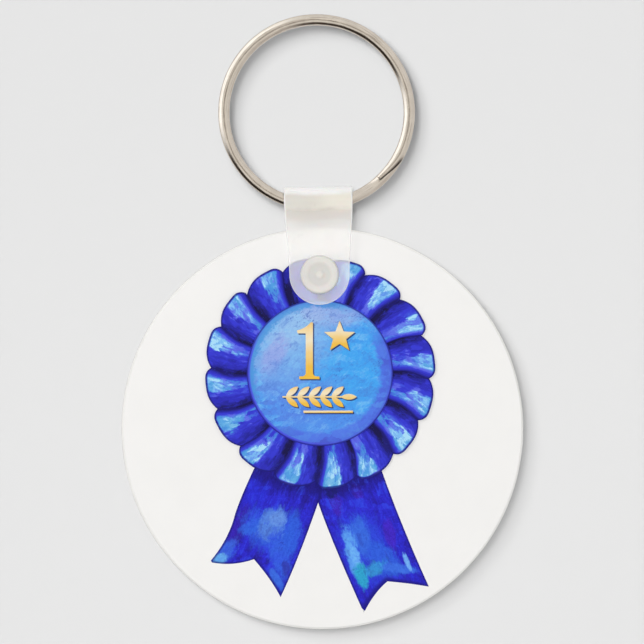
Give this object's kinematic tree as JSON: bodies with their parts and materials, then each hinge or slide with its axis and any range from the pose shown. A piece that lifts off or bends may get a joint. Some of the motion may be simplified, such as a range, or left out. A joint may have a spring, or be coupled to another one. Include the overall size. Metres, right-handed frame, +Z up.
{
  "type": "award ribbon",
  "caption": "Round white keychain fob with a blue award rosette and two tails on its face, hung from a split ring by a snapped strap.",
  "frame": {"origin": "inside top of the split ring, where the ring hangs on a hook", "axes": "+Z up along the hanging object, -Y out of the fob's printed face, +X to the right of someone facing it"},
  "size_m": [0.0572, 0.0062, 0.0875],
  "materials": {
    "nickel": "polished nickel plate, warm grey",
    "strap_plastic": "milky translucent soft plastic",
    "snap_plastic": "milky plastic, thicker and less clear than the strap",
    "core_white": "white sheet core with a cut edge",
    "face_white": "smooth white face with a soft sheen",
    "pleat_blue": "painted royal blue with navy folds and pale blue highlights",
    "backing_blue": "dark navy",
    "tail_blue": "painted deep blue with lighter dabs",
    "button_blue": "painted sky blue",
    "gold": "gold shaded from pale cream to orange gold"
  },
  "bodies": {
    "ring": {"split_ring": "nickel"},
    "strap_body": {"strap": "strap_plastic", "snap_socket": "snap_plastic"},
    "fob": {"disc_core": "core_white", "front_sheet": "face_white", "back_sheet": "face_white", "rosette_backing": "backing_blue", "tail_left": "tail_blue", "tail_right": "tail_blue", "pleat_01": "pleat_blue", "pleat_02": "pleat_blue", "pleat_03": "pleat_blue", "pleat_04": "pleat_blue", "pleat_05": "pleat_blue", "pleat_06": "pleat_blue", "pleat_07": "pleat_blue", "pleat_08": "pleat_blue", "pleat_09": "pleat_blue", "pleat_10": "pleat_blue", "pleat_11": "pleat_blue", "pleat_12": "pleat_blue", "pleat_13": "pleat_blue", "pleat_14": "pleat_blue", "pleat_15": "pleat_blue", "pleat_16": "pleat_blue", "centre_button": "button_blue", "numeral_one": "gold", "star": "gold", "laurel_sprig": "gold", "underline_bar": "gold"},
    "snap": {"snap_stud": "snap_plastic"}
  },
  "joints": [
    {"name": "fob_swing", "type": "hinge", "parent": "ring", "child": "strap_body", "pos_m": [0, 0, -0.02513], "axis": [1, 0, 0], "range_deg": [-110, 110]},
    {"name": "fob_swivel", "type": "hinge", "parent": "strap_body", "child": "fob", "pos_m": [0, 0, -0.03547], "axis": [0, 1, 0], "range_deg": [-25, 25]},
    {"name": "snap_pull", "type": "slide", "parent": "strap_body", "child": "snap", "axis": [0, -1, 0], "range_m": [0, 0.0046]}
  ]
}
